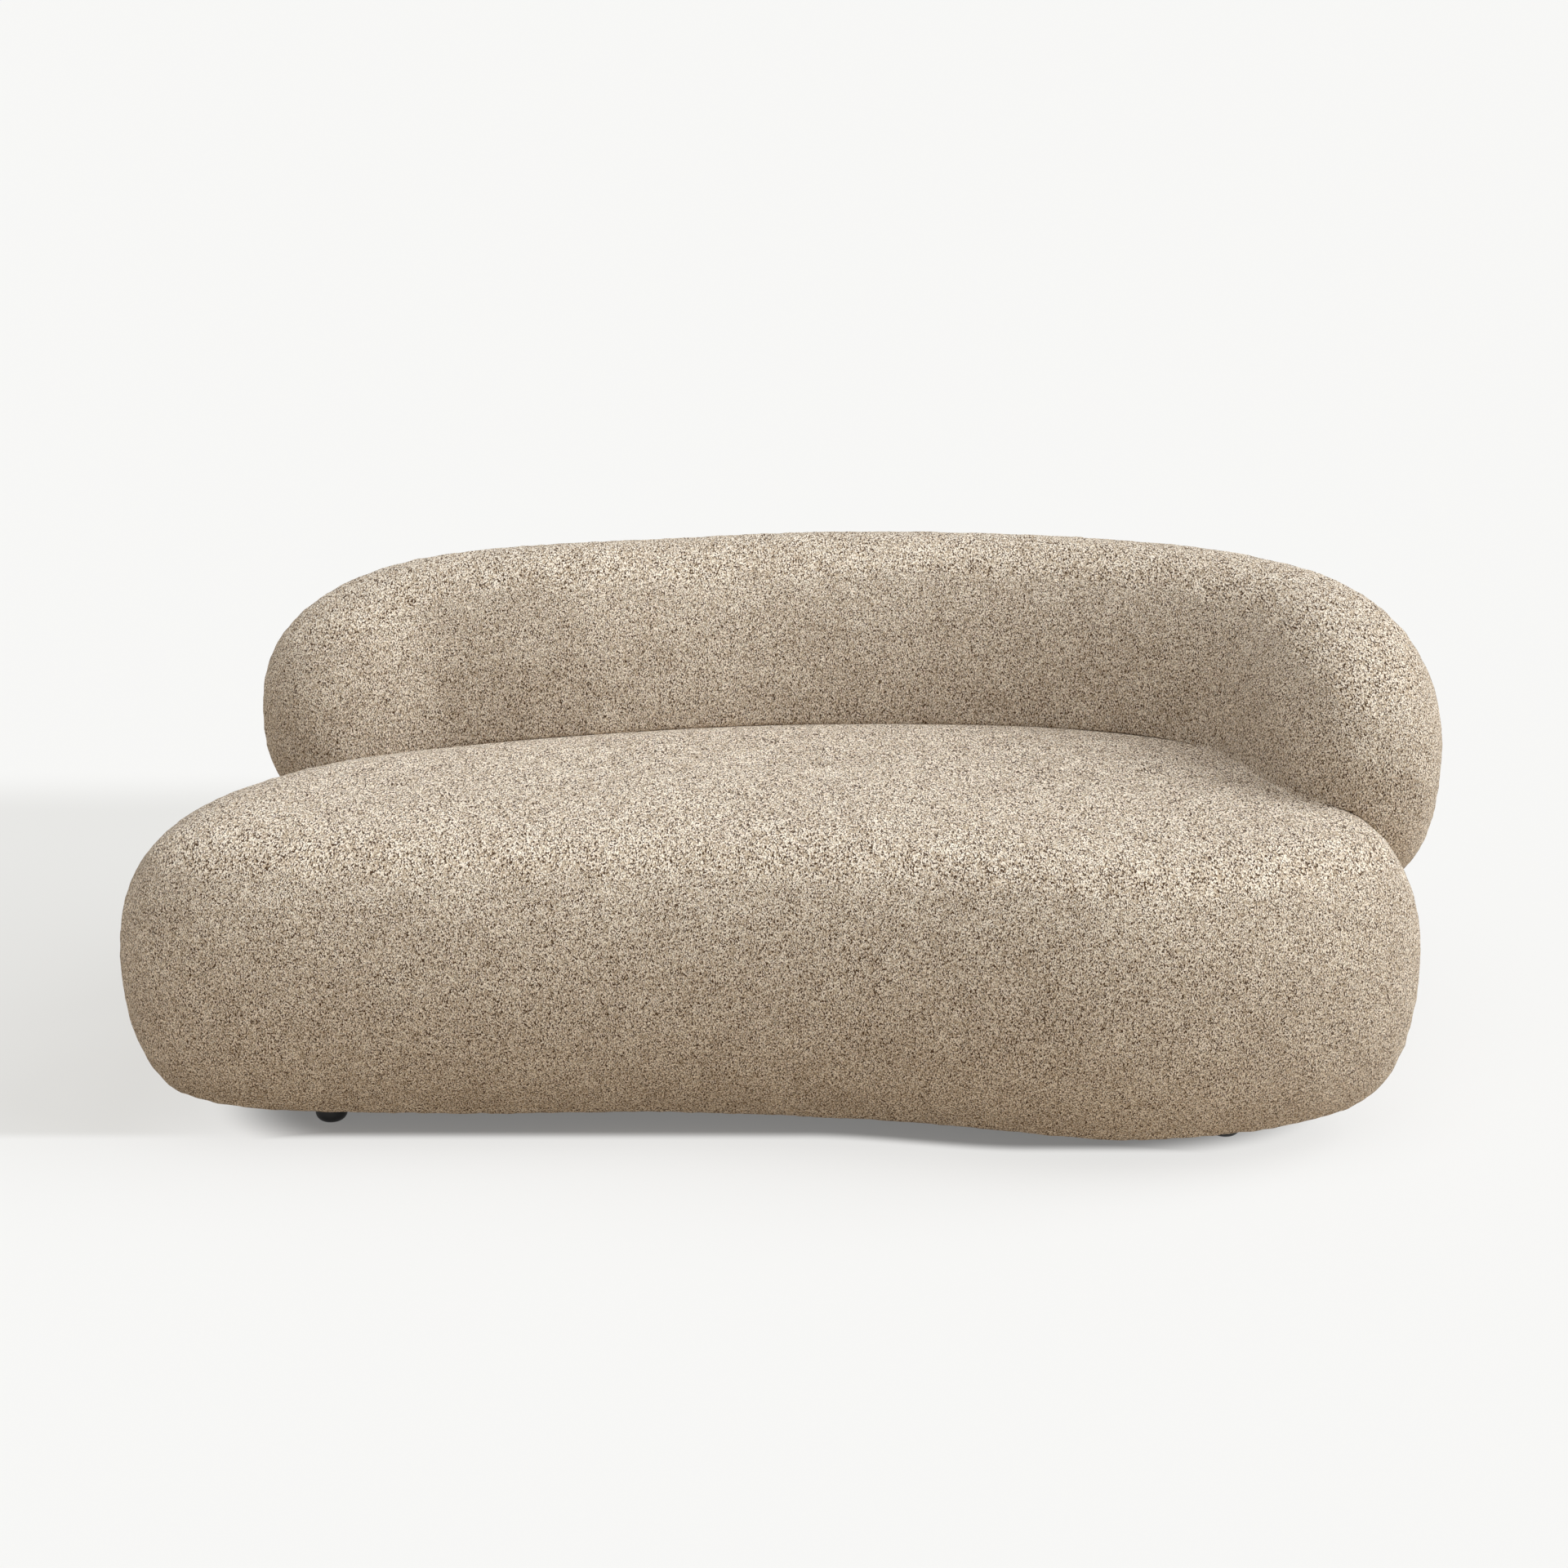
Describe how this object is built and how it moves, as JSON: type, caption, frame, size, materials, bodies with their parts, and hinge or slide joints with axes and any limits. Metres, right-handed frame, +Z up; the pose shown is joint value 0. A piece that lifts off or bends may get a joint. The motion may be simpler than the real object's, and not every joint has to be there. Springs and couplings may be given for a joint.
{
  "type": "curved sofa",
  "caption": "Curved upholstered sofa: a fat rounded kidney-shaped seat on short round feet, with a separate rounded backrest along its rear that wraps forward at one end.",
  "frame": {"origin": "middle of the footprint at floor level", "axes": "+X to the right as a person facing the sofa sees it, +Y towards the backrest, +Z up"},
  "size_m": [1.9056, 1.0838, 0.7095],
  "materials": {
    "boucle": "looped taupe-beige boucle, matte and slightly fuzzy",
    "wadding": "white polyester wadding",
    "foam": "cut polyurethane foam",
    "plywood": "bare plywood, 18 mm",
    "thin_plywood": "bare bending plywood, 4 mm",
    "solid_wood": "planed softwood",
    "webbing": "woven elastic webbing",
    "dust_cloth": "black non-woven cambric",
    "foot_plastic": "satin black",
    "steel": "zinc-plated"
  },
  "bodies": {
    "root": {"seat_base_board": "plywood", "seat_deck_ring": "plywood", "seat_side_board": "thin_plywood", "seat_post_1": "solid_wood", "seat_post_2": "solid_wood", "seat_post_3": "solid_wood", "seat_post_4": "solid_wood", "seat_post_5": "solid_wood", "seat_post_6": "solid_wood", "seat_cross_rail_1": "solid_wood", "seat_cross_rail_2": "solid_wood", "webbing_cross_1": "webbing", "webbing_cross_2": "webbing", "webbing_cross_3": "webbing", "webbing_cross_4": "webbing", "webbing_cross_5": "webbing", "webbing_cross_6": "webbing", "webbing_long_1": "webbing", "webbing_long_2": "webbing", "seat_top_foam": "foam", "seat_edge_foam": "foam", "seat_wadding": "wadding", "seat_cover": "boucle", "dust_cover": "dust_cloth", "foot_1": "foot_plastic", "foot_2": "foot_plastic", "foot_3": "foot_plastic", "foot_4": "foot_plastic", "foot_5": "foot_plastic", "foot_stud_1": "steel", "foot_stud_2": "steel", "foot_stud_3": "steel", "foot_stud_4": "steel", "foot_stud_5": "steel", "foot_nut_1": "steel", "foot_nut_2": "steel", "foot_nut_3": "steel", "foot_nut_4": "steel", "foot_nut_5": "steel", "back_lower_rail": "plywood", "back_upper_rail": "plywood", "back_front_board": "thin_plywood", "back_rear_board": "thin_plywood", "back_post_1": "solid_wood", "back_post_2": "solid_wood", "back_post_3": "solid_wood", "back_post_4": "solid_wood", "back_post_5": "solid_wood", "back_foam": "foam", "back_wadding": "wadding", "back_cover": "boucle", "joining_plate_1": "steel", "joining_plate_2": "steel", "joining_plate_3": "steel", "plate_screw_rail_1": "steel", "plate_screw_rail_2": "steel", "plate_screw_rail_3": "steel", "plate_screw_ring_1": "steel", "plate_screw_ring_2": "steel", "plate_screw_ring_3": "steel"}
  },
  "joints": []
}
